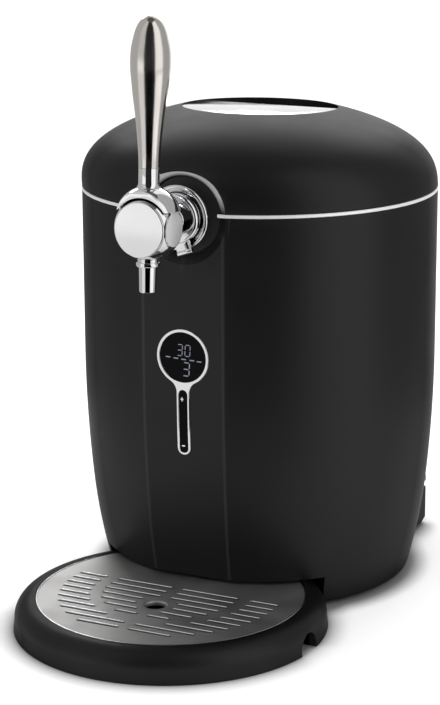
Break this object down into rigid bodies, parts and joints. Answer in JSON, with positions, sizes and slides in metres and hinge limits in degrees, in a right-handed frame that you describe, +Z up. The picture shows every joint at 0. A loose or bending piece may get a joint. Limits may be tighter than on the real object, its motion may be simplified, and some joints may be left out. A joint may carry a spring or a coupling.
{
  "type": "mini keg beer dispenser",
  "caption": "Counter-top keg cooler: matt black barrel with a hinged domed lid, side-pull chrome tap, round display and a pull-out drip tray.",
  "frame": {"origin": "middle of the footprint, on the surface the machine stands on", "axes": "+Z up; -Y towards the user, where the tap and the drip tray are; +X to the right of someone facing the tap"},
  "size_m": [0.2706, 0.406, 0.4434],
  "materials": {
    "black_shell": "soft-touch matt black",
    "black_inner": "moulded matt black",
    "pale_inner": "moulded satin grey",
    "foam": "closed-cell foam",
    "chrome_trim": "bright chrome",
    "chrome_tap": "bright chrome",
    "brushed_plate": "brushed",
    "turned_steel": "turned, satin",
    "well_metal": "drawn, satin",
    "raw_aluminium": "extruded",
    "screw_steel": "zinc-plated",
    "rubber_black": "matt",
    "seal_rubber": "soft",
    "smoked_glass": "black gloss",
    "ceramic": "fired ceramic",
    "circuit": "solder-masked board",
    "valve_plastic": "acetal"
  },
  "bodies": {
    "cabinet": {"body_shell": "black_shell", "seam_trim": "chrome_trim", "base_plate": "black_inner", "rubber_feet": "rubber_black", "base_screws": "screw_steel", "keg_well": "well_metal", "well_collar": "black_inner", "insulation_jacket": "foam", "temperature_probe": "raw_aluminium", "cold_block": "raw_aluminium", "peltier_module": "ceramic", "heat_sink": "raw_aluminium", "fan_frame": "black_inner", "fan_screws": "screw_steel", "rear_cover": "black_shell", "rear_cover_screws": "screw_steel", "power_inlet": "black_inner", "power_board": "circuit", "control_board": "circuit", "display_bezel": "chrome_trim", "display_lens": "smoked_glass", "touch_strip": "smoked_glass", "tap_socket": "black_inner", "tap_flange": "chrome_tap", "tap_stem": "chrome_tap", "stem_seals": "seal_rubber", "tap_body": "chrome_tap", "tap_front_cap": "chrome_tap", "spout_collar": "chrome_tap", "spout": "chrome_tap", "hinge_brackets": "black_inner", "hinge_pins": "screw_steel"},
    "lid": {"lid_shell": "black_shell", "lid_grip_plate": "brushed_plate", "lid_liner": "pale_inner", "lid_insulation": "foam", "lid_screws": "screw_steel", "lid_seal": "seal_rubber", "lid_hinge_arms": "black_inner"},
    "handle": {"handle_yoke": "chrome_tap", "pivot_pin": "screw_steel", "handle_grip": "turned_steel", "grip_stud": "screw_steel"},
    "valve": {"tap_valve": "valve_plastic"},
    "lock": {"lock_ring": "chrome_tap"},
    "tray": {"drip_tray": "black_inner", "drip_grid": "brushed_plate"},
    "fan": {"fan_rotor": "black_inner"}
  },
  "joints": [
    {"name": "lid_hinge", "type": "hinge", "parent": "cabinet", "child": "lid", "pos_m": [0, 0.1955, 0.304], "axis": [-1, 0, 0], "range_deg": [0, 85]},
    {"name": "tap_handle", "type": "hinge", "parent": "cabinet", "child": "handle", "pos_m": [0, -0.116, 0.299], "axis": [1, 0, 0], "range_deg": [0, 45]},
    {"name": "valve_slide", "type": "slide", "parent": "cabinet", "child": "valve", "axis": [0, 0.9986, -0.0523], "range_m": [0, 0.003]},
    {"name": "lock_turn", "type": "hinge", "parent": "cabinet", "child": "lock", "pos_m": [0, -0.074, 0.298], "axis": [0, -1, 0], "range_deg": [0, 50]},
    {"name": "tray_slide", "type": "slide", "parent": "cabinet", "child": "tray", "axis": [0, -1, 0], "range_m": [0, 0.12]},
    {"name": "fan_spin", "type": "hinge", "parent": "cabinet", "child": "fan", "pos_m": [0, 0.19, 0.155], "axis": [0, 1, 0], "continuous": true}
  ],
  "couplings": [
    {"joint": "valve_slide", "follows": "tap_handle", "m_per_rad": 0.0038}
  ]
}
